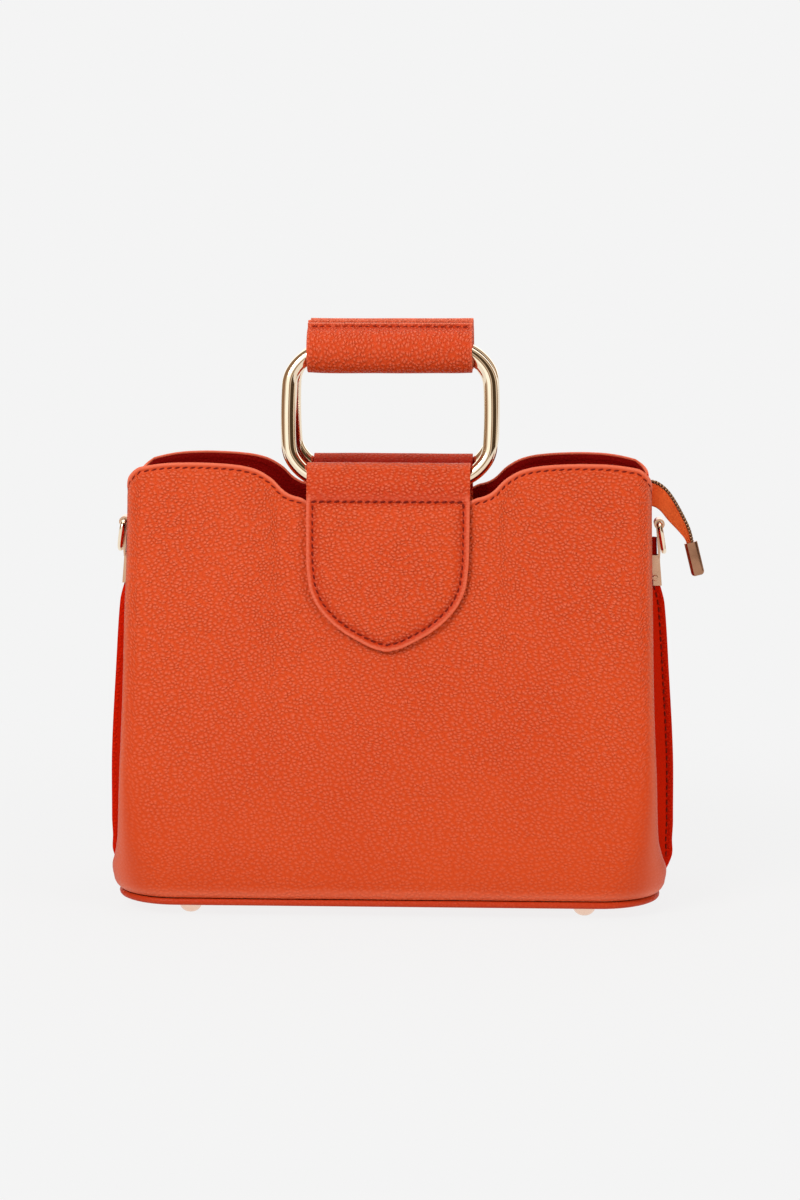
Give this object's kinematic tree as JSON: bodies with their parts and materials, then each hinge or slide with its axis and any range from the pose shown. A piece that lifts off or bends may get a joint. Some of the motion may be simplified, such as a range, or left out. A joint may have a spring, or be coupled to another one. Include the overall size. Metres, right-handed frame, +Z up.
{
  "type": "handbag",
  "caption": "Structured leather handbag with two ring handles, shield tabs, finned side gussets with D-rings and a recessed zip with a capped tail.",
  "frame": {"origin": "on the standing plane, under the middle of the base", "axes": "+X along the bag's width to the viewer's right, -Y to the front with the viewer, +Z up"},
  "size_m": [0.2702, 0.11, 0.2625],
  "materials": {
    "orange_leather": "pebbled, soft satin sheen",
    "red_leather": "pebbled, deeper red",
    "pale_gold": "polished pale gold plating",
    "bronze_teeth": "dark bronze",
    "woven_tape": "fine twill",
    "lining_cloth": "plain weave",
    "grey_board": "fibre board",
    "soft_foam": "closed cell foam"
  },
  "bodies": {
    "bag_body": {"front_panel": "orange_leather", "back_panel": "orange_leather", "left_gusset": "red_leather", "right_gusset": "red_leather", "base_panel": "orange_leather", "base_welt": "orange_leather", "base_board": "grey_board", "foot_front_left": "pale_gold", "foot_front_right": "pale_gold", "foot_back_left": "pale_gold", "foot_back_right": "pale_gold", "front_stiffener": "grey_board", "back_stiffener": "grey_board", "lining": "lining_cloth", "front_tab": "orange_leather", "back_tab": "orange_leather", "left_clamp": "pale_gold", "right_clamp": "pale_gold", "left_clamp_screw": "pale_gold", "right_clamp_screw": "pale_gold", "front_zip_facing": "red_leather", "back_zip_facing": "red_leather", "front_zip_tape": "woven_tape", "back_zip_tape": "woven_tape", "front_zip_teeth": "bronze_teeth", "back_zip_teeth": "bronze_teeth", "zip_tail_tape": "woven_tape", "zip_tail_teeth": "bronze_teeth", "zip_end_cap": "pale_gold"},
    "front_handle": {"front_handle_ring": "pale_gold", "front_grip_core": "soft_foam", "front_grip_cover": "orange_leather"},
    "back_handle": {"back_handle_ring": "pale_gold", "back_grip_core": "soft_foam", "back_grip_cover": "orange_leather"},
    "left_ring": {"left_d_ring": "pale_gold"},
    "right_ring": {"right_d_ring": "pale_gold"},
    "slider": {"zip_slider": "pale_gold"},
    "pull_tag": {"zip_puller": "pale_gold"}
  },
  "joints": [
    {"name": "front_handle_fold", "type": "hinge", "parent": "bag_body", "child": "front_handle", "pos_m": [0, -0.022, 0.1917], "axis": [1, 0, 0], "range_deg": [0, 110]},
    {"name": "back_handle_fold", "type": "hinge", "parent": "bag_body", "child": "back_handle", "pos_m": [0, 0.022, 0.1917], "axis": [-1, 0, 0], "range_deg": [0, 110]},
    {"name": "left_ring_swing", "type": "hinge", "parent": "bag_body", "child": "left_ring", "pos_m": [-0.12097, 0, 0.1708], "axis": [0, 1, 0], "range_deg": [0, 150]},
    {"name": "right_ring_swing", "type": "hinge", "parent": "bag_body", "child": "right_ring", "pos_m": [0.12097, 0, 0.1708], "axis": [0, -1, 0], "range_deg": [0, 40]},
    {"name": "zip_slide", "type": "slide", "parent": "bag_body", "child": "slider", "axis": [1, 0, 0], "range_m": [0, 0.168], "deforming": ["front_zip_facing", "back_zip_facing", "front_zip_tape", "back_zip_tape", "front_zip_teeth", "back_zip_teeth"]},
    {"name": "puller_flip", "type": "hinge", "parent": "slider", "child": "pull_tag", "pos_m": [-0.0916, 0, 0.1809], "axis": [0, 1, 0], "range_deg": [0, 170]}
  ]
}
